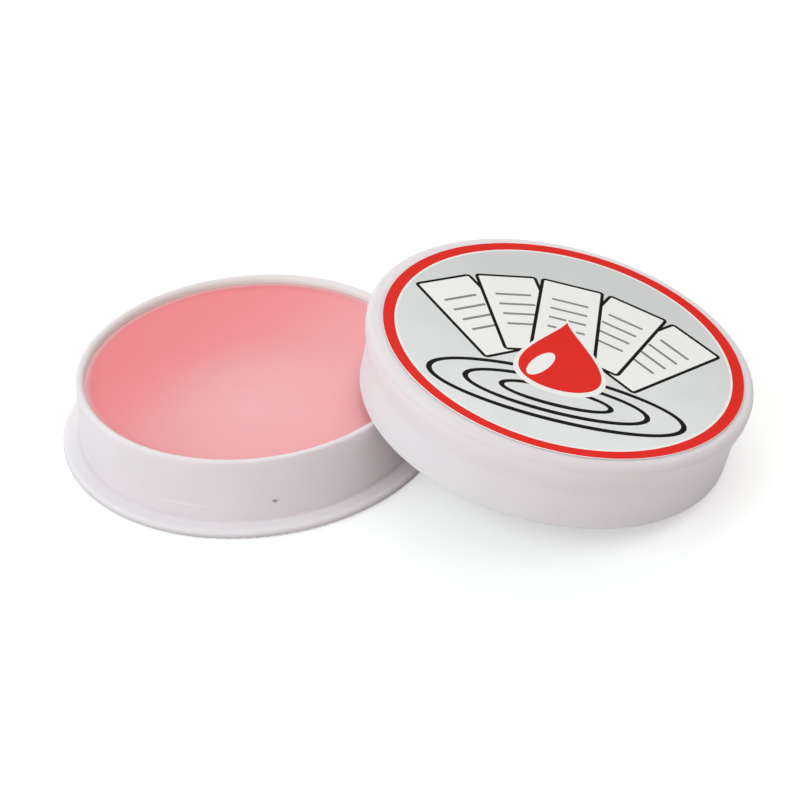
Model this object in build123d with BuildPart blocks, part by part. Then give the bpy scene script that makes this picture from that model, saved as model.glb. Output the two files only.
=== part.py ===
from build123d import *
import os
from math import asin, atan2, cos, degrees, hypot, radians, sin, sqrt, tan

# A pot of finger-moistening gel: a round tray, the gel cast into it, and a push-on lid with a label.
# Sizes are in millimetres. The tray stands on Z = 0 with its axis on Z.
# The lid is off, and leans along +X with its skirt on the tray's rim and on the table.

# Tray
rim_radius = 30.5  # outside of the neck, at the rim
tray_height = 12.9
tray_wall = 1.25
neck_draft = 0.6  # how much wider the neck is at its foot
inner_draft = 0.4  # how much narrower the inside is at the floor
floor_thickness = 1.1
floor_round = 1.0
foot_recess = 0.3  # depth of the hollow under the floor
foot_ring_width = 4.0  # ring that the tray stands on
foot_round = 0.5
gate_radius = 1.1  # stub that moulding leaves in the middle of the hollow
gate_height = 0.15
flange_overhang = 3.26  # flange that the closed lid stands on, past the neck's foot
flange_height = 1.5
flange_fall = 0.15  # how much lower the flange is at its outer edge
flange_round = 0.8
neck_cove = 0.5  # where the neck meets the flange
rim_outer_round = 0.43
rim_inner_round = 0.75

# Gel
gel_drop = 1.45  # from the rim down to the gel's edge
gel_dish = 0.4  # how much lower the gel is in the middle
gel_clearance = 0.1

# Lid
lid_clearance = 0.15  # between the neck's foot and the skirt of the closed lid
lid_headroom = 0.6  # between the rim and the ceiling of the closed lid
ceiling_thickness = 1.4
ceiling_round = 0.8
skirt_wall = 1.18
skirt_round = 0.3
skirt_lead_in = 0.4  # clears the cove when the lid is closed
bore_draft = 0.4  # how much narrower the skirt's inside is at the ceiling
band_height = 2.25
band_overhang = 0.92
band_fall = 4.0  # height of the slope from the band in to the skirt
band_round = 6.0
shoulder_round = 1.0

# Label
label_margin = 2.25  # from the band's outside in to the edge of a centred label
label_thickness = 0.15
label_offset = 0.35  # how far downhill of the lid's middle the label is stuck on

# Lean of the lid
touch_angle = 32.7  # round the rim, from +X to each of the two points that carry the lid
lean_gap = 0.1

# A rounding takes at most this share of the wall that it is on
large_share = 0.62
even_share = 0.45
small_share = 0.35


def corner(profile, across, up):
    """The vertex of a profile that is nearest to a point."""
    return profile.vertices().sort_by_distance((across, up, 0))[0]


# Tray sizes that follow
inner_radius = rim_radius - tray_wall
neck_foot_radius = rim_radius + neck_draft
flange_radius = neck_foot_radius + flange_overhang
flange_edge_height = flange_height - flange_fall
recess_radius = flange_radius - foot_ring_width
floor_top = foot_recess + floor_thickness
floor_radius = inner_radius - inner_draft

# Gel sizes that follow
gel_level = tray_height - gel_drop
gel_draft = inner_draft * gel_drop / (tray_height - floor_top)
gel_edge_radius = inner_radius - gel_draft - gel_clearance
gel_floor_radius = floor_radius - gel_clearance

# Lid sizes that follow
ceiling_height = tray_height - flange_height + lid_headroom
lid_height = ceiling_height + ceiling_thickness
mouth_radius = neck_foot_radius + lid_clearance
bore_top_radius = mouth_radius - bore_draft
skirt_radius = mouth_radius + skirt_wall
band_radius = skirt_radius + band_overhang
band_base = lid_height - band_height
label_radius = band_radius - label_margin

# Roundings that follow
rim_outer = min(rim_outer_round, small_share * tray_wall)
rim_inner = min(rim_inner_round, large_share * tray_wall)
skirt_outer = min(skirt_round, small_share * skirt_wall)
skirt_inner = min(skirt_lead_in, small_share * skirt_wall)
band_turn = atan2(band_overhang, band_fall)
band_room = min(even_share * hypot(band_overhang, band_fall), small_share * band_height)
band_curve = min(band_round, band_room / tan(band_turn / 2))

# The lid leans until its mouth's inner edge is just above the rim at the two touching points
touch_radius = rim_radius - rim_outer
touch_reach = touch_radius * cos(radians(touch_angle))
touch_half_width = touch_radius * sin(radians(touch_angle))
mouth_reach = sqrt((mouth_radius + skirt_inner) ** 2 - touch_half_width**2)
lean_span = skirt_radius - skirt_outer + mouth_reach
lean_offset = rim_outer + lean_gap
lean_rise = tray_height - rim_outer - skirt_outer
lean_step = lean_offset + skirt_outer
lean = asin(lean_rise / hypot(lean_span, lean_step)) + atan2(lean_step, lean_span)

lid_x = touch_reach + mouth_reach * cos(lean) + lean_offset * sin(lean)
lid_z = tray_height - rim_outer - mouth_reach * sin(lean) + lean_offset * cos(lean)
lid_plane = Plane((lid_x, 0, lid_z), x_dir=(cos(lean), 0, -sin(lean)), z_dir=(sin(lean), 0, cos(lean)))
lid_axis = Axis(lid_plane.origin, lid_plane.z_dir)
lid_section = Plane(lid_plane.origin, x_dir=lid_plane.x_dir, z_dir=-lid_plane.y_dir)


with BuildPart() as tray:
    with BuildSketch(Plane.XZ) as tray_profile:
        with BuildLine():
            Polyline(
                (0, foot_recess - gate_height),
                (gate_radius, foot_recess - gate_height),
                (gate_radius, foot_recess),
                (recess_radius, foot_recess),
                (recess_radius, 0),
                (flange_radius, 0),
                (flange_radius, flange_edge_height),
                (neck_foot_radius, flange_height),
                (rim_radius, tray_height),
                (inner_radius, tray_height),
                (floor_radius, floor_top),
                (0, floor_top),
                close=True,
            )
        make_face()
        fillet(
            corner(tray_profile, flange_radius, flange_edge_height),
            min(flange_round, large_share * flange_edge_height),
        )
        fillet(
            corner(tray_profile, flange_radius, 0),
            min(foot_round, small_share * flange_edge_height),
        )
        fillet(corner(tray_profile, neck_foot_radius, flange_height), neck_cove)
        fillet(corner(tray_profile, rim_radius, tray_height), rim_outer)
        fillet(corner(tray_profile, inner_radius, tray_height), rim_inner)
        fillet(corner(tray_profile, floor_radius, floor_top), floor_round)
    revolve(axis=Axis.Z)
tray.part.label = "tray"

with BuildPart() as gel:
    with BuildSketch(Plane.XZ) as gel_profile:
        with BuildLine():
            Polyline(
                (0, gel_level - gel_dish),
                (0, floor_top),
                (gel_floor_radius, floor_top),
                (gel_edge_radius, gel_level),
            )
            TangentArc((0, gel_level - gel_dish), (gel_edge_radius, gel_level), tangent=(1, 0))
        make_face()
        fillet(corner(gel_profile, gel_floor_radius, floor_top), floor_round)
    revolve(axis=Axis.Z)
gel.part.label = "gel"

with BuildPart() as lid:
    with BuildSketch(lid_section) as lid_profile:
        with BuildLine():
            Polyline(
                (mouth_radius, 0),
                (skirt_radius, 0),
                (skirt_radius, band_base - band_fall),
                (band_radius, band_base),
                (band_radius, lid_height),
                (0, lid_height),
                (0, ceiling_height),
                (bore_top_radius, ceiling_height),
                close=True,
            )
        make_face()
        fillet(corner(lid_profile, skirt_radius, 0), skirt_outer)
        fillet(corner(lid_profile, skirt_radius, band_base - band_fall), band_curve)
        fillet(corner(lid_profile, band_radius, band_base), band_curve)
        fillet(
            corner(lid_profile, band_radius, lid_height),
            min(shoulder_round, large_share * label_margin, large_share * band_height),
        )
        fillet(corner(lid_profile, bore_top_radius, ceiling_height), ceiling_round)
        chamfer(corner(lid_profile, mouth_radius, 0), skirt_inner)
    revolve(axis=lid_axis)
lid.part.label = "lid"

with BuildPart() as label:
    with BuildSketch(lid_plane.offset(lid_height)):
        with Locations((label_offset, 0)):
            Circle(label_radius)
    extrude(amount=label_thickness)
label.part.label = "label"


os.makedirs("parts", exist_ok=True)
export_step(tray.part, "parts/tray.step")
export_step(gel.part, "parts/gel.step")
export_step(lid.part, "parts/lid.step")
export_step(label.part, "parts/label.step")
print(f"The lid leans {degrees(lean):.2f} degrees, with its mouth at X {lid_x:.2f}, Z {lid_z:.2f}")
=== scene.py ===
import math

import bmesh
import bpy
from mathutils import Matrix, Vector, noise
from mathutils.geometry import delaunay_2d_cdt


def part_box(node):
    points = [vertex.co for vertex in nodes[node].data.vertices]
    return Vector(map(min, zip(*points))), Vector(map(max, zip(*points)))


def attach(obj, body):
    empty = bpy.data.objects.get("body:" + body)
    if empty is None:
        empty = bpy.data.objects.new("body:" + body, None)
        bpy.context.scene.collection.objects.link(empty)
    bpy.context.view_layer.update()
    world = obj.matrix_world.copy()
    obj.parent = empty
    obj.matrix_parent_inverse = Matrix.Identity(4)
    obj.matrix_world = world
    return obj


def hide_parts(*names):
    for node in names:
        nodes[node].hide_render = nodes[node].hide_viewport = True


# A pot of finger-moistening gel with its lid leaning on the rim.
# Everything is in metres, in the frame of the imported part; MM turns millimetres into metres.

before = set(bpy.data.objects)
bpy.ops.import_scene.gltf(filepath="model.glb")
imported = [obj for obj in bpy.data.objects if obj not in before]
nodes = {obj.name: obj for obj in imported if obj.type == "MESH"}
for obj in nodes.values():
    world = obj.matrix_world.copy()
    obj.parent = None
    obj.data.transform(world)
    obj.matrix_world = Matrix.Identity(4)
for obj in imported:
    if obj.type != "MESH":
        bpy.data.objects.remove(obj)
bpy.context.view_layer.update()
MM = 0.001

# View: turned about Z, raised and rolled, looking at a point on the table
VIEW_AZIMUTH = 10.70
VIEW_ELEVATION = 34.12
VIEW_ROLL = -2.56
VIEW_DISTANCE = 0.3007
VIEW_AIM = Vector((0.02491, 0.00905, 0.0))
VIEW_LENS = 74.03
VIEW_SENSOR = 36.0
VIEW_CLIP_START = 10 * MM


def direction(azimuth, elevation):
    """Unit vector from the part towards a place given by its azimuth and elevation in degrees."""
    turn = math.radians(azimuth)
    rise = math.radians(elevation)
    return Vector((math.sin(turn) * math.cos(rise), -math.cos(turn) * math.cos(rise), math.sin(rise)))


def add_object(name, data):
    """A new object in the scene."""
    piece = bpy.data.objects.new(name, data)
    bpy.context.scene.collection.objects.link(piece)
    return piece


def add_mesh(name, mesh):
    """A new object from a mesh that has just been built."""
    data = bpy.data.meshes.new(name)
    mesh.to_mesh(data)
    mesh.free()
    return add_object(name, data)


def add_camera():
    back = direction(VIEW_AZIMUTH, VIEW_ELEVATION)
    right = Vector((0, 0, 1)).cross(back).normalized()
    up = back.cross(right)
    roll = math.radians(VIEW_ROLL)
    turned_right = right * math.cos(roll) + up * math.sin(roll)
    turned_up = up * math.cos(roll) - right * math.sin(roll)
    lens = bpy.data.cameras.new("photo_view")
    lens.lens = VIEW_LENS
    lens.sensor_width = VIEW_SENSOR
    lens.clip_start = VIEW_CLIP_START
    camera = add_object("photo_view", lens)
    turn = Matrix((turned_right, turned_up, back)).transposed()
    camera.matrix_world = Matrix.Translation(VIEW_AIM + back * VIEW_DISTANCE) @ turn.to_4x4()
    bpy.context.scene.camera = camera


# Node helpers

NOISE_MIDDLE = (0.3, 0.7)  # the range that holds most of a noise
MIX_SHARE = 0  # sockets of a mix node for colours
MIX_FIRST = 6
MIX_SECOND = 7
MIX_RESULT = 2


def new_material(name):
    """A node material with its tree and its shader."""
    material = bpy.data.materials.new(name)
    material.use_nodes = True
    tree = material.node_tree
    return material, tree, tree.nodes["Principled BSDF"]


def add_node(tree, kind, inputs=None, **settings):
    """A shader node; an input is a value, or the output that feeds it."""
    node = tree.nodes.new(kind)
    for name, value in settings.items():
        setattr(node, name, value)
    for socket, value in (inputs or {}).items():
        if isinstance(value, bpy.types.NodeSocket):
            tree.links.new(value, node.inputs[socket])
        else:
            node.inputs[socket].default_value = value
    return node


def calculate(tree, operation, *values):
    """The result of a math node."""
    inputs = dict(enumerate(values))
    return add_node(tree, "ShaderNodeMath", inputs, operation=operation).outputs[0]


def calculate_vector(tree, operation, *values):
    """The outputs of a vector math node."""
    inputs = dict(enumerate(values))
    return add_node(tree, "ShaderNodeVectorMath", inputs, operation=operation).outputs


def place(tree):
    """Coordinates of the piece itself, in metres."""
    return add_node(tree, "ShaderNodeTexCoord").outputs["Object"]


def grain(tree, where, size, detail=2.0):
    """Noise from 0 to 1, whose patches are about the given size in metres."""
    inputs = {"Vector": where, "Scale": 1 / size, "Detail": detail}
    return add_node(tree, "ShaderNodeTexNoise", inputs).outputs["Fac"]


def spread(tree, value, low, high, start=0.0, end=1.0, smooth=False):
    """A value from start to end, taken to the range from low to high."""
    kind = "SMOOTHSTEP" if smooth else "LINEAR"
    inputs = {"Value": value, "From Min": start, "From Max": end, "To Min": low, "To Max": high}
    return add_node(tree, "ShaderNodeMapRange", inputs, interpolation_type=kind).outputs[0]


def rising(tree, value, start, end):
    """0 at the start and below, 1 at the end and above, and smooth between."""
    return spread(tree, value, 0.0, 1.0, start, end, smooth=True)


def falling(tree, value, start, end):
    """1 at the start and below, 0 at the end and above, and smooth between."""
    return spread(tree, value, 1.0, 0.0, start, end, smooth=True)


def mixed(tree, share, first, second):
    """Two colours mixed; the share and the colours are values or outputs."""
    inputs = {MIX_SHARE: share}
    for socket, colour in ((MIX_FIRST, first), (MIX_SECOND, second)):
        is_output = isinstance(colour, bpy.types.NodeSocket)
        inputs[socket] = colour if is_output else (*colour, 1)
    return add_node(tree, "ShaderNodeMix", inputs, data_type="RGBA").outputs[MIX_RESULT]


def bumped(tree, height, depth, normal=None):
    """A normal bent by a height from 0 to 1 that stands for a depth in metres."""
    inputs = {"Height": height, "Distance": depth}
    if normal is not None:
        inputs["Normal"] = normal
    return add_node(tree, "ShaderNodeBump", inputs).outputs["Normal"]


def near_point(tree, where, point, radius, narrowness=1):
    """1 at a point, falling to 0 at a radius; narrowness makes the spot less high than it is wide."""
    offset = calculate_vector(tree, "SUBTRACT", where, point)["Vector"]
    scaled = calculate_vector(tree, "MULTIPLY", offset, (1, 1, narrowness))["Vector"]
    gap = calculate_vector(tree, "LENGTH", scaled)["Value"]
    return falling(tree, gap, 0.0, radius)


def from_axis(tree, where, middle=(0, 0, 0), axis=(0, 0, 1)):
    """Distance from an axis, and height along it from its middle."""
    offset = calculate_vector(tree, "SUBTRACT", where, middle)["Vector"]
    across = calculate_vector(tree, "CROSS_PRODUCT", offset, axis)["Vector"]
    distance = calculate_vector(tree, "LENGTH", across)["Value"]
    return distance, calculate_vector(tree, "DOT_PRODUCT", offset, axis)["Value"]


def texture(tree, shader, where, roughness, fine, fine_detail, ripples):
    """Fine grain over slow ripples, each given by its size and depth; the grain varies the roughness."""
    fine_size, fine_depth = fine
    ripple_size, ripple_depth = ripples
    speckle = grain(tree, where, fine_size, fine_detail)
    tree.links.new(spread(tree, speckle, *roughness), shader.inputs["Roughness"])
    waves = bumped(tree, grain(tree, where, ripple_size), ripple_depth)
    tree.links.new(bumped(tree, speckle, fine_depth, normal=waves), shader.inputs["Normal"])


def dress(piece, material):
    """Give a piece one material."""
    piece.data.materials.clear()
    piece.data.materials.append(material)


# Moulded white plastic

TRAY_WHITE = ((0.790, 0.705, 0.735), (0.825, 0.737, 0.768))
LID_WHITE = ((0.825, 0.735, 0.765), (0.862, 0.768, 0.800))
CLOUD_SIZE = 14 * MM
CLOUD_DETAIL = 3.0
PLASTIC_TEXTURE = {
    "roughness": (0.53, 0.63),
    "fine": (0.22 * MM, 0.006 * MM),
    "fine_detail": 3.0,
    "ripples": (5 * MM, 0.03 * MM),
}
PLASTIC_IOR = 1.49
PLASTIC_SHEEN = 0.2
TRAY_GLOW = 0.6  # share of the light that spreads under the surface
TRAY_GLOW_DEPTH = 1.3 * MM
LID_GLOW = 1.0
LID_GLOW_DEPTH = 2.4 * MM
GLOW_TINT = (1.0, 0.9, 0.87)


def white_plastic(name, whites, glow, glow_depth):
    """Satin white moulding: faint clouding, fine mould grain and slow ripples of shrinkage."""
    material, tree, shader = new_material(name)
    where = place(tree)
    cloud = spread(tree, grain(tree, where, CLOUD_SIZE, CLOUD_DETAIL), 0.0, 1.0, *NOISE_MIDDLE)
    colour = mixed(tree, cloud, *whites)
    texture(tree, shader, where, **PLASTIC_TEXTURE)
    shader.inputs["Subsurface Weight"].default_value = glow
    shader.inputs["Subsurface Radius"].default_value = GLOW_TINT
    shader.inputs["Subsurface Scale"].default_value = glow_depth
    shader.inputs["IOR"].default_value = PLASTIC_IOR
    shader.inputs["Specular IOR Level"].default_value = PLASTIC_SHEEN
    return material, tree, shader, where, colour


# Painted light on the tray: painted shade makes its inner wall greener and greyer, painted light makes
# its flange paler, and painted shade makes the foot of its flange greyer
WALL_PAINTED_SHADE = (0.77, 0.81, 0.785)
WALL_TO_RIM = (29.35 * MM, 29.75 * MM)
FLOOR_TO_WALL = (3.0 * MM, 6.0 * MM)
FLANGE_PAINTED_LIGHT = (0.86, 0.80, 0.83)
NECK_TO_FLANGE = (31.3 * MM, 32.0 * MM)
FOOT_PAINTED_SHADE = (0.64, 0.57, 0.595)
FOOT_TO_FLANGE = (0.4 * MM, 1.45 * MM)
FLANGE_TO_EDGE = (32.6 * MM, 33.6 * MM)

# Marks on the tray: a dark speck in the neck and a long pale line beside it
NECK_RADIUS = 30.9 * MM
SPECK_COLOUR = (0.24, 0.19, 0.22)
SPECK_TURN = -70.0
SPECK_HEIGHT = 4.74 * MM
SPECK_RADIUS = 0.75 * MM
SPECK_NARROWNESS = 1.5
PALE_LINE_COLOUR = (0.86, 0.80, 0.82)
PALE_LINE_TURN = -98.5
PALE_LINE_HEIGHT = 4.05 * MM
PALE_LINE_LENGTH = 8.0 * MM
PALE_LINE_NARROWNESS = 22


def on_neck(turn, height):
    """A point on the neck's outside."""
    angle = math.radians(turn)
    return (NECK_RADIUS * math.cos(angle), NECK_RADIUS * math.sin(angle), height)


def dress_tray():
    made = white_plastic("tray_white", TRAY_WHITE, TRAY_GLOW, TRAY_GLOW_DEPTH)
    material, tree, shader, where, colour = made
    radius, height = from_axis(tree, where)
    # Painted shade: the inner wall above the gel is painted greener and greyer
    above = spread(tree, height, 0.0, 1.0, *FLOOR_TO_WALL)
    inside = calculate(tree, "MULTIPLY", falling(tree, radius, *WALL_TO_RIM), above)
    colour = mixed(tree, inside, colour, WALL_PAINTED_SHADE)
    # Painted light: the flange, which faces up, is painted paler than the neck
    colour = mixed(tree, rising(tree, radius, *NECK_TO_FLANGE), colour, FLANGE_PAINTED_LIGHT)
    # Painted shade: the flange's outer edge is painted greyer towards the floor
    outside = spread(tree, radius, 0.0, 1.0, *FLANGE_TO_EDGE)
    foot_shade = calculate(tree, "MULTIPLY", falling(tree, height, *FOOT_TO_FLANGE), outside)
    colour = mixed(tree, foot_shade, colour, FOOT_PAINTED_SHADE)
    pale_line_place = on_neck(PALE_LINE_TURN, PALE_LINE_HEIGHT)
    pale_line = near_point(tree, where, pale_line_place, PALE_LINE_LENGTH, PALE_LINE_NARROWNESS)
    colour = mixed(tree, pale_line, colour, PALE_LINE_COLOUR)
    speck_place = on_neck(SPECK_TURN, SPECK_HEIGHT)
    speck = near_point(tree, where, speck_place, SPECK_RADIUS, SPECK_NARROWNESS)
    colour = mixed(tree, speck, colour, SPECK_COLOUR)
    tree.links.new(colour, shader.inputs["Base Color"])
    dress(nodes["tray"], material)


# Painted light: the lid is painted cooler on the side that leans over the gel, against the pink light
# that the gel throws on it
LID_PAINTED_COOL_LIGHT = (0.840, 0.800, 0.812)
LID_COOL_LIGHT_PLACE = (21 * MM, -12 * MM, 13 * MM)
LID_COOL_LIGHT_RADIUS = 20 * MM

# Painted shade: the lid's shoulder is painted a little greyer than its top and its band, to dim its
# highlight
SHOULDER_PAINTED_SHADE = (0.765, 0.695, 0.722)
MARGIN_TO_SHOULDER = (31.7 * MM, 32.8 * MM)
BAND_TO_SHOULDER = (-2.4 * MM, -0.7 * MM)
LABEL_OFFSET = 0.35 * MM  # how far downhill of the lid's middle the label is


def dress_lid():
    made = white_plastic("lid_white", LID_WHITE, LID_GLOW, LID_GLOW_DEPTH)
    material, tree, shader, where, colour = made
    # Painted light: a cooler colour on the side over the gel
    cool_light = near_point(tree, where, LID_COOL_LIGHT_PLACE, LID_COOL_LIGHT_RADIUS)
    colour = mixed(tree, cool_light, colour, LID_PAINTED_COOL_LIGHT)
    label_place = label_frame()[0]
    middle = label_place @ Vector((-LABEL_OFFSET, 0, 0))
    radius, height = from_axis(tree, where, middle, label_place.col[2].xyz)
    # Painted shade on the shoulder, against its highlight
    outer = rising(tree, radius, *MARGIN_TO_SHOULDER)
    shoulder_shade = calculate(tree, "MULTIPLY", outer, rising(tree, height, *BAND_TO_SHOULDER))
    colour = mixed(tree, shoulder_shade, colour, SHOULDER_PAINTED_SHADE)
    tree.links.new(colour, shader.inputs["Base Color"])
    dress(nodes["lid"], material)


# Gel cake

GEL_DISH = 0.4 * MM
GEL_CREEP = 0.06 * MM  # how far the gel climbs the wall that it was poured against
GEL_CREEP_WIDTH = 0.5 * MM
GEL_WALL_GAP = 0.12 * MM  # past the plain solid, out to the tray's wall
GEL_DRAFT = 0.35 * MM
GEL_FLOOR_ROUND = 1.0 * MM
GEL_WAVE = 0.05 * MM
GEL_WAVE_SIZE = 9 * MM
GEL_SIDES = 192
GEL_RINGS = 56
GEL_CROWDING = 1.6  # brings the rings closer together towards the edge

# The gel is deep pink at the far left and paler to the right; a painted highlight makes a broad pale
# patch, and the edge is paler, partly its own colour and partly painted light
GEL_DEEP = (0.83, 0.195, 0.226)
GEL_MIDDLE = (0.835, 0.325, 0.350)
GEL_DEEP_TO_MIDDLE = (-25 * MM, 21 * MM)
GEL_SLANT = 0.6
GEL_PAINTED_SHEEN = (0.86, 0.385, 0.408)
GEL_SHEEN_PLACE = (3.4 * MM, -10.7 * MM, 11.4 * MM)
GEL_SHEEN_RADIUS = 24 * MM
GEL_SHEEN_RANGE = (0.75, 1.1)
GEL_CLOUD_SIZE = 11 * MM
GEL_EDGE_PALE_AND_LIT = (0.97, 0.52, 0.54)
GEL_TO_EDGE = (27.8 * MM, 29.3 * MM)
GEL_TEXTURE = {
    "roughness": (0.42, 0.56),
    "fine": (0.6 * MM, 0.008 * MM),
    "fine_detail": 4.0,
    "ripples": (6 * MM, 0.08 * MM),
}
GEL_GLOW = 0.25
GEL_GLOW_DEPTHS = (2.4 * MM, 1.0 * MM, 1.0 * MM)  # of red, green and blue light
GEL_IOR = 1.44


def gel_height(x, y, radius, level):
    """Height of the gel's surface: dished, creeping up the wall, and a little uneven."""
    distance = math.hypot(x, y)
    dish = GEL_DISH * (1 - (distance / radius) ** 2)
    creep = GEL_CREEP * math.exp((distance - radius) / GEL_CREEP_WIDTH)
    wave = GEL_WAVE * noise.noise(Vector((x, y, 0)) / GEL_WAVE_SIZE)
    return level - dish + creep + wave


def gel_rings():
    """Radius and height of each ring from the gel's middle, over its edge and down to its base.

    A ring on the top has no height here, because gel_height gives it.
    """
    low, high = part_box("gel")
    radius = (high.x - low.x) / 2 + GEL_WALL_GAP
    rings = []
    for step in range(1, GEL_RINGS + 1):
        share = step / GEL_RINGS
        rings.append((radius * (1 - (1 - share) ** GEL_CROWDING), None))
    rings.append((radius - GEL_DRAFT, low.z + GEL_FLOOR_ROUND))
    rings.append((radius - GEL_DRAFT - GEL_FLOOR_ROUND, low.z))
    return rings, radius, low.z, high.z


def make_gel():
    rings, radius, base, level = gel_rings()
    mesh = bmesh.new()
    top = mesh.verts.new((0, 0, gel_height(0, 0, radius, level)))
    bottom = mesh.verts.new((0, 0, base))
    loops = []
    for ring_radius, height in rings:
        loop = []
        for side in range(GEL_SIDES):
            angle = 2 * math.pi * side / GEL_SIDES
            x = ring_radius * math.cos(angle)
            y = ring_radius * math.sin(angle)
            z = gel_height(x, y, radius, level) if height is None else height
            loop.append(mesh.verts.new((x, y, z)))
        loops.append(loop)
    for side in range(GEL_SIDES):
        after = (side + 1) % GEL_SIDES
        mesh.faces.new((top, loops[0][side], loops[0][after]))
        mesh.faces.new((bottom, loops[-1][after], loops[-1][side]))
        for inner, outer in zip(loops, loops[1:]):
            mesh.faces.new((inner[side], outer[side], outer[after], inner[after]))
    for face in mesh.faces:
        face.smooth = True
    gel = add_mesh("gel_cake", mesh)
    gel.data.materials.append(gel_material())
    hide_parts("gel")
    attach(gel, "tray")


def gel_material():
    """Waxy pink gel."""
    material, tree, shader = new_material("gel_pink")
    where = place(tree)
    across = add_node(tree, "ShaderNodeSeparateXYZ", {0: where}).outputs
    back = calculate(tree, "MULTIPLY", across["Y"], GEL_SLANT)
    slant = calculate(tree, "SUBTRACT", across["X"], back)
    colour = mixed(tree, rising(tree, slant, *GEL_DEEP_TO_MIDDLE), GEL_DEEP, GEL_MIDDLE)
    # Painted highlight: a broad pale patch, clouded unevenly
    cloud = grain(tree, where, GEL_CLOUD_SIZE, CLOUD_DETAIL)
    uneven = spread(tree, cloud, *GEL_SHEEN_RANGE, *NOISE_MIDDLE)
    sheen_patch = near_point(tree, where, GEL_SHEEN_PLACE, GEL_SHEEN_RADIUS)
    colour = mixed(tree, calculate(tree, "MULTIPLY", sheen_patch, uneven), colour, GEL_PAINTED_SHEEN)
    # Paler edge: partly the gel's own colour, partly painted light that lifts the shade where the gel
    # meets the wall
    edge = rising(tree, from_axis(tree, where)[0], *GEL_TO_EDGE)
    colour = mixed(tree, edge, colour, GEL_EDGE_PALE_AND_LIT)
    tree.links.new(colour, shader.inputs["Base Color"])
    texture(tree, shader, where, **GEL_TEXTURE)
    shader.inputs["Subsurface Weight"].default_value = GEL_GLOW
    shader.inputs["Subsurface Radius"].default_value = GEL_GLOW_DEPTHS
    shader.inputs["Subsurface Scale"].default_value = 1.0
    shader.inputs["IOR"].default_value = GEL_IOR
    return material


# Label; the sizes of its print are in millimetres and its turns in degrees

LABEL_EDGE = 0.04  # unprinted
RING_WIDTH = 2.00
RING_SIDES = 256
ELLIPSE_SIDES = 96
RING_SHIFT = (0.0, -0.28)  # the print inside the ring sits a little low
HAIRLINE_WIDTH = 0.42
SHEET_TURNS = (-40, -20, 40, 20, 0)
SHEET_SIZE = (11.5, 23.0)
SHEET_START = 12.5
SHEET_PIVOT = (0, -16.5)
SHEET_LINE = 0.62
SHEET_CORNER = 0.9
CORNER_STEPS = 6
RULE_WIDTH = 6.6
RULE_HEIGHT = 0.6
RULE_CORNER = 0.2
RULE_STARTS = (20.0, 23.0, 26.0, 29.0)
RIPPLES = ((9.5, 2.9), (15.5, 5.0), (21.5, 7.1))
RIPPLE_LINE = 0.95
RIPPLE_CENTRE = (0, -16.5)
DROP_CENTRE = (0, -4.2)
DROP_SIZE = (14.0, 21.0)
DROP_WITH_BORDER = (15.6, 23.4)
DROP_TAPER = 1.7
DROP_SIDES = 120
SHINE_CENTRE = (-3.3, -8.2)
SHINE_SIZE = (1.5, 4.2)
SHINE_TURN = -24
FACES_INSIDE = 1  # kind of result that the triangulation gives
MERGE_DISTANCE = 1e-5

# Each ink, from its dark to its light
INKS = {
    "paper": ((0.930, 0.885, 0.870), (0.965, 0.925, 0.905)),
    "silver": ((0.665, 0.660, 0.660), (0.85, 0.84, 0.84)),
    "red": ((0.79, 0.025, 0.019), (0.85, 0.030, 0.023)),
    "grey": ((0.24, 0.245, 0.25), (0.28, 0.285, 0.29)),
    "black": ((0.004, 0.004, 0.004), (0.009, 0.008, 0.008)),
}
INK_PAINTED_LIGHT_NEAR_TO_FAR = (-26 * MM, 22 * MM)  # painted light: every ink is lighter towards the near edge of the label
INK_SHEEN = 0.015
INK_CLOUD = 0.15
INK_CLOUD_SIZE = 12 * MM
INK_TEXTURE = {
    "roughness": (0.40, 0.50),
    "fine": (0.25 * MM, 0.003 * MM),
    "fine_detail": 3.0,
    "ripples": (9 * MM, 0.03 * MM),
}


def turned(points, degrees, centre):
    """Points turned about the origin and then moved."""
    angle = math.radians(degrees)
    cosine = math.cos(angle)
    sine = math.sin(angle)
    moved = []
    for x, y in points:
        moved.append((x * cosine - y * sine + centre[0], x * sine + y * cosine + centre[1]))
    return moved


def ellipse(half_width, half_height, sides=ELLIPSE_SIDES):
    points = []
    for step in range(sides):
        angle = 2 * math.pi * step / sides
        points.append((half_width * math.cos(angle), half_height * math.sin(angle)))
    return points


def sheet_outline(width, start, end, corner):
    """A standing rectangle with round corners."""
    points = []
    middles = (
        (width / 2 - corner, start + corner, -90),
        (width / 2 - corner, end - corner, 0),
        (corner - width / 2, end - corner, 90),
        (corner - width / 2, start + corner, 180),
    )
    for x, y, first in middles:
        for step in range(CORNER_STEPS + 1):
            angle = math.radians(first + 90 * step / CORNER_STEPS)
            points.append((x + corner * math.cos(angle), y + corner * math.sin(angle)))
    return points


def drop_outline(width, height):
    """A drop with its tip up, centred on its box."""
    shape = []
    for step in range(DROP_SIDES):
        angle = 2 * math.pi * step / DROP_SIDES
        shape.append((-math.sin(angle) * math.sin(angle / 2) ** DROP_TAPER, math.cos(angle)))
    widest = max(x for x, _ in shape)
    return [(x * width / 2 / widest, y * height / 2) for x, y in shape]


def ring_layers(radius):
    """The red ring, the white hairline inside it and the silver field."""
    ring = radius - LABEL_EDGE
    inside = ring - RING_WIDTH
    field = inside - HAIRLINE_WIDTH
    return [
        (ellipse(radius, radius, RING_SIDES), "paper"),
        (ellipse(ring, ring, RING_SIDES), "red"),
        (turned(ellipse(inside, inside, RING_SIDES), 0, RING_SHIFT), "paper"),
        (turned(ellipse(field, field, RING_SIDES), 0, RING_SHIFT), "silver"),
    ]


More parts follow.
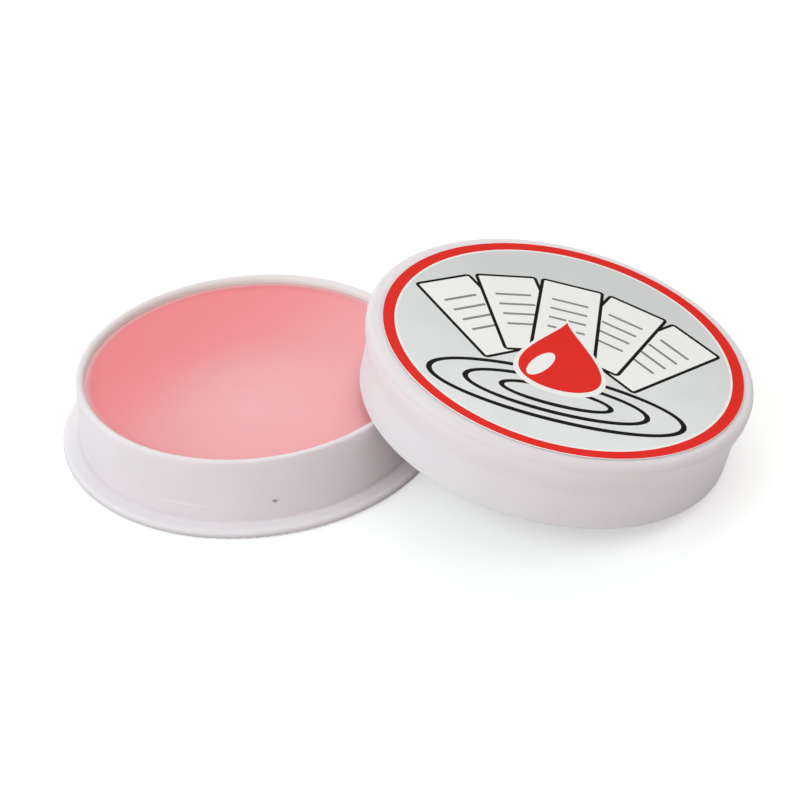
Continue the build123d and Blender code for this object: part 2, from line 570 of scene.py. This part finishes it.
def sheet_layers(turn):
    """A sheet of paper with a black outline and grey rules."""
    width, length = SHEET_SIZE
    end = SHEET_START + length
    paper_width = width - 2 * SHEET_LINE
    paper_corner = SHEET_CORNER - SHEET_LINE
    outer = sheet_outline(width, SHEET_START, end, SHEET_CORNER)
    inner = sheet_outline(paper_width, SHEET_START + SHEET_LINE, end - SHEET_LINE, paper_corner)
    layers = [(turned(outer, turn, SHEET_PIVOT), "black"), (turned(inner, turn, SHEET_PIVOT), "paper")]
    for start in RULE_STARTS:
        rule = sheet_outline(RULE_WIDTH, start, start + RULE_HEIGHT, RULE_CORNER)
        layers.append((turned(rule, turn, SHEET_PIVOT), "grey"))
    return layers


def label_layers(radius):
    """The print, bottom layer first: each is an outline in millimetres and its ink."""
    layers = ring_layers(radius)
    for turn in SHEET_TURNS:
        layers.extend(sheet_layers(turn))
    for half_width, half_height in reversed(RIPPLES):
        outer = ellipse(half_width, half_height)
        inner = ellipse(half_width - RIPPLE_LINE, half_height - RIPPLE_LINE)
        layers.append((turned(outer, 0, RIPPLE_CENTRE), "black"))
        layers.append((turned(inner, 0, RIPPLE_CENTRE), "silver"))
    layers.append((turned(drop_outline(*DROP_WITH_BORDER), 0, DROP_CENTRE), "paper"))
    layers.append((turned(drop_outline(*DROP_SIZE), 0, DROP_CENTRE), "red"))
    layers.append((turned(ellipse(*SHINE_SIZE), SHINE_TURN, SHINE_CENTRE), "paper"))
    return layers


def label_frame():
    """The label's own frame on the lid, its radius and its thickness, read from the plain solid."""
    low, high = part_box("label")
    faces = nodes["label"].data.polygons
    top = max(faces, key=lambda face: face.normal.z)
    normal = top.normal.copy()
    middle = (low + high) / 2
    half = (top.center - middle).dot(normal)
    along = Vector((0, 1, 0)).cross(normal)
    turn = Matrix((along, Vector((0, 1, 0)), normal)).transposed()
    frame_on_lid = Matrix.Translation(middle + normal * half) @ turn.to_4x4()
    return frame_on_lid, (high.y - low.y) / 2, 2 * half


def ink_material(name, dark, light):
    """Print on a coated sticker, faintly clouded, with painted light that makes it lighter towards one
    side.
    """
    material, tree, shader = new_material("label_" + name)
    where = place(tree)
    across = add_node(tree, "ShaderNodeSeparateXYZ", {0: where}).outputs["Y"]
    # Painted light: every ink is lighter towards the near edge
    painted_light_slope = spread(tree, across, 1.0, 0.0, *INK_PAINTED_LIGHT_NEAR_TO_FAR)
    cloud = spread(tree, grain(tree, where, INK_CLOUD_SIZE), -INK_CLOUD, INK_CLOUD, *NOISE_MIDDLE)
    share = calculate(tree, "ADD", cloud, painted_light_slope)
    tree.links.new(mixed(tree, share, dark, light), shader.inputs["Base Color"])
    texture(tree, shader, where, **INK_TEXTURE)
    shader.inputs["Specular IOR Level"].default_value = INK_SHEEN
    return material


def print_faces(mesh, layers):
    """Faces of the print: each has the ink of the top layer that covers it."""
    points = []
    outlines = []
    for outline, _ in layers:
        outlines.append(list(range(len(points), len(points) + len(outline))))
        points.extend(Vector(point) for point in outline)
    made = delaunay_2d_cdt(points, [], outlines, FACES_INSIDE, MERGE_DISTANCE)
    places, _, faces, _, _, from_outlines = made
    inks = list(INKS)
    corners = [mesh.verts.new((point.x * MM, point.y * MM, 0)) for point in places]
    for face, sources in zip(faces, from_outlines):
        if sources:
            made_face = mesh.faces.new([corners[index] for index in face])
            made_face.material_index = inks.index(layers[max(sources)][1])


def thicken(mesh, thickness):
    """Close the printed side with a wall and a base of paper."""
    rim = [edge for edge in mesh.edges if edge.is_boundary]
    wall = bmesh.ops.extrude_edge_only(mesh, edges=rim)["geom"]
    lower = [item for item in wall if isinstance(item, bmesh.types.BMVert)]
    bmesh.ops.translate(mesh, verts=lower, vec=(0, 0, -thickness))
    base = [item for item in wall if isinstance(item, bmesh.types.BMEdge) and item.is_boundary]
    bmesh.ops.edgeloop_fill(mesh, edges=base, mat_nr=list(INKS).index("paper"))
    bmesh.ops.recalc_face_normals(mesh, faces=mesh.faces)


def make_label():
    label_place, radius, thickness = label_frame()
    mesh = bmesh.new()
    print_faces(mesh, label_layers(radius / MM))
    thicken(mesh, thickness)
    label = add_mesh("label_sticker", mesh)
    for ink, (dark, light) in INKS.items():
        label.data.materials.append(ink_material(ink, dark, light))
    label.matrix_world = label_place
    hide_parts("label")
    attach(label, "lid")


# Studio

WHITE = (1, 1, 1, 1)
FLOOR_SIZE = 3.0
FLOOR_DROP = 0.05 * MM
FLOOR_WHITE = (0.75, 0.75, 0.75, 1)
FLOOR_ROUGHNESS = 0.9
FLOOR_LIFT = 0.42
FLOOR_FAR_LIFT = 1.0
FLOOR_NEAR_TO_FAR = (0.25, 0.75)
AMBIENT = 0.47
LOOK_AT = Vector((0.025, 0.0, 0.01))
LAMP_DISTANCE = 0.75
LAMP_SIZE = 0.55

# Each lamp: its name, azimuth and elevation in degrees, power in watts, and colour
LAMPS = (
    ("front", -4, 36, 1.22, (1.0, 0.97, 0.88)),
    ("side", -55, 36, 2.20, (0.80, 0.97, 1.0)),
    ("back", 180, 45, 2.05, (0.93, 1.0, 0.94)),
)


def seen_rays(tree):
    """1 for rays that show the backdrop itself: straight, in a reflection or through glass."""
    path = add_node(tree, "ShaderNodeLightPath").outputs
    shown = calculate(tree, "MAXIMUM", path["Is Camera Ray"], path["Is Glossy Ray"])
    return calculate(tree, "MAXIMUM", shown, path["Is Transmission Ray"])


def floor_material():
    """Plain pale floor, lifted to white where it shows, and more so far from the part."""
    material, tree, shader = new_material("floor_white")
    shader.inputs["Base Color"].default_value = FLOOR_WHITE
    shader.inputs["Roughness"].default_value = FLOOR_ROUGHNESS
    shader.inputs["Specular IOR Level"].default_value = 0.0
    shader.inputs["Emission Color"].default_value = WHITE
    away = from_axis(tree, place(tree))[0]
    level = spread(tree, away, FLOOR_LIFT, FLOOR_FAR_LIFT, *FLOOR_NEAR_TO_FAR)
    lift = calculate(tree, "MULTIPLY", seen_rays(tree), level)
    tree.links.new(lift, shader.inputs["Emission Strength"])
    return material


def make_floor():
    mesh = bmesh.new()
    bmesh.ops.create_grid(mesh, x_segments=1, y_segments=1, size=FLOOR_SIZE / 2)
    floor = add_mesh("floor", mesh)
    floor.location.z = -FLOOR_DROP
    floor.data.materials.append(floor_material())


def make_world():
    """Even light from all round, which shows as white."""
    world = bpy.data.worlds.new("studio")
    world.use_nodes = True
    tree = world.node_tree
    backdrop = tree.nodes["Background"]
    backdrop.inputs["Color"].default_value = WHITE
    strength = spread(tree, seen_rays(tree), AMBIENT, 1.0)
    tree.links.new(strength, backdrop.inputs["Strength"])
    bpy.context.scene.world = world


def make_lamps():
    for name, azimuth, elevation, power, colour in LAMPS:
        lamp = bpy.data.lights.new(name, "AREA")
        lamp.energy = power
        lamp.color = colour
        lamp.size = LAMP_SIZE
        piece = add_object(name, lamp)
        towards = direction(azimuth, elevation)
        piece.location = LOOK_AT + towards * LAMP_DISTANCE
        piece.rotation_euler = towards.to_track_quat("Z", "Y").to_euler()


add_camera()
make_world()
make_lamps()
make_floor()
dress_tray()
dress_lid()
make_gel()
make_label()

bpy.context.scene.view_settings.view_transform = "Standard"
